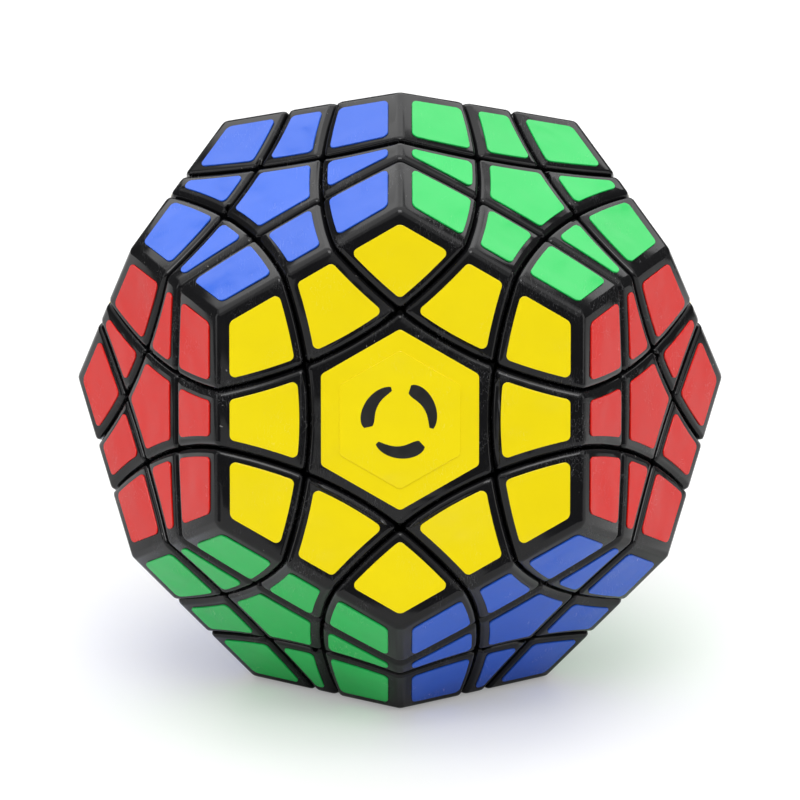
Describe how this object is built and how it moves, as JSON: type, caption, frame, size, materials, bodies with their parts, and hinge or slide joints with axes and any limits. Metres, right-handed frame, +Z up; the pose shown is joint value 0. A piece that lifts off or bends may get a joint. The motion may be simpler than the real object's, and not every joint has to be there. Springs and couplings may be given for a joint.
{
  "type": "twisty puzzle",
  "caption": "Polyhedral twisty puzzle with hexagonal and pentagonal faces and coloured stickers, whose layers turn on a sprung core.",
  "frame": {"origin": "middle of the sticker that the puzzle stands on, at the foot of the vertical line through the puzzle's middle", "axes": "+Z up, out of the top; -Y towards the front, where the yellow hexagonal face looks out, tilted up by 10 degrees; +X to the right seen from the front"},
  "size_m": [0.092, 0.0857, 0.0857],
  "materials": {
    "black_plastic": "glossy moulded plastic with fine handling scratches",
    "sticker_yellow": "glossy vinyl film",
    "sticker_red": "glossy vinyl film",
    "sticker_blue": "glossy vinyl film",
    "sticker_green": "glossy vinyl film",
    "core": "satin moulded plastic",
    "steel": "zinc-plated steel"
  },
  "bodies": {
    "root": {"core": "core", "screws": "steel", "washers": "steel", "springs": "steel", "ring_edges": "black_plastic", "bridge_edges": "black_plastic", "point_corners": "black_plastic", "yellow_pentagon_centres": "black_plastic", "yellow_pentagon_caps": "black_plastic", "yellow_pentagon_stickers": "sticker_yellow", "red_pentagon_centres": "black_plastic", "red_pentagon_caps": "black_plastic", "red_pentagon_stickers": "sticker_red", "blue_pentagon_centres": "black_plastic", "blue_pentagon_caps": "black_plastic", "blue_pentagon_stickers": "sticker_blue", "green_pentagon_centres": "black_plastic", "green_pentagon_caps": "black_plastic", "green_pentagon_stickers": "sticker_green"},
    "yellow_layer": {"yellow_layer_centre": "black_plastic", "yellow_layer_cap": "black_plastic", "yellow_layer_edges": "black_plastic", "yellow_layer_corners": "black_plastic", "yellow_layer_stickers_yellow": "sticker_yellow", "yellow_layer_stickers_red": "sticker_red", "yellow_layer_stickers_blue": "sticker_blue", "yellow_layer_stickers_green": "sticker_green"},
    "red_layer": {"red_layer_centre": "black_plastic", "red_layer_cap": "black_plastic", "red_layer_edges": "black_plastic", "red_layer_corners": "black_plastic", "red_layer_stickers_yellow": "sticker_yellow", "red_layer_stickers_red": "sticker_red", "red_layer_stickers_blue": "sticker_blue", "red_layer_stickers_green": "sticker_green"},
    "blue_layer": {"blue_layer_centre": "black_plastic", "blue_layer_cap": "black_plastic", "blue_layer_edges": "black_plastic", "blue_layer_corners": "black_plastic", "blue_layer_stickers_yellow": "sticker_yellow", "blue_layer_stickers_red": "sticker_red", "blue_layer_stickers_blue": "sticker_blue", "blue_layer_stickers_green": "sticker_green"},
    "green_layer": {"green_layer_centre": "black_plastic", "green_layer_cap": "black_plastic", "green_layer_edges": "black_plastic", "green_layer_corners": "black_plastic", "green_layer_stickers_yellow": "sticker_yellow", "green_layer_stickers_red": "sticker_red", "green_layer_stickers_blue": "sticker_blue", "green_layer_stickers_green": "sticker_green"}
  },
  "joints": [
    {"name": "yellow_layer_turn", "type": "hinge", "parent": "root", "child": "yellow_layer", "pos_m": [0, 0, 0.0402], "axis": [0, -0.9847, 0.1741], "continuous": true},
    {"name": "red_layer_turn", "type": "hinge", "parent": "root", "child": "red_layer", "pos_m": [0, 0, 0.0402], "axis": [0, 0.4924, 0.8704], "continuous": true},
    {"name": "blue_layer_turn", "type": "hinge", "parent": "root", "child": "blue_layer", "pos_m": [0, 0, 0.0402], "axis": [-0.8165, 0.2462, -0.5222], "continuous": true},
    {"name": "green_layer_turn", "type": "hinge", "parent": "root", "child": "green_layer", "pos_m": [0, 0, 0.0402], "axis": [0.8165, 0.2462, -0.5222], "continuous": true}
  ]
}
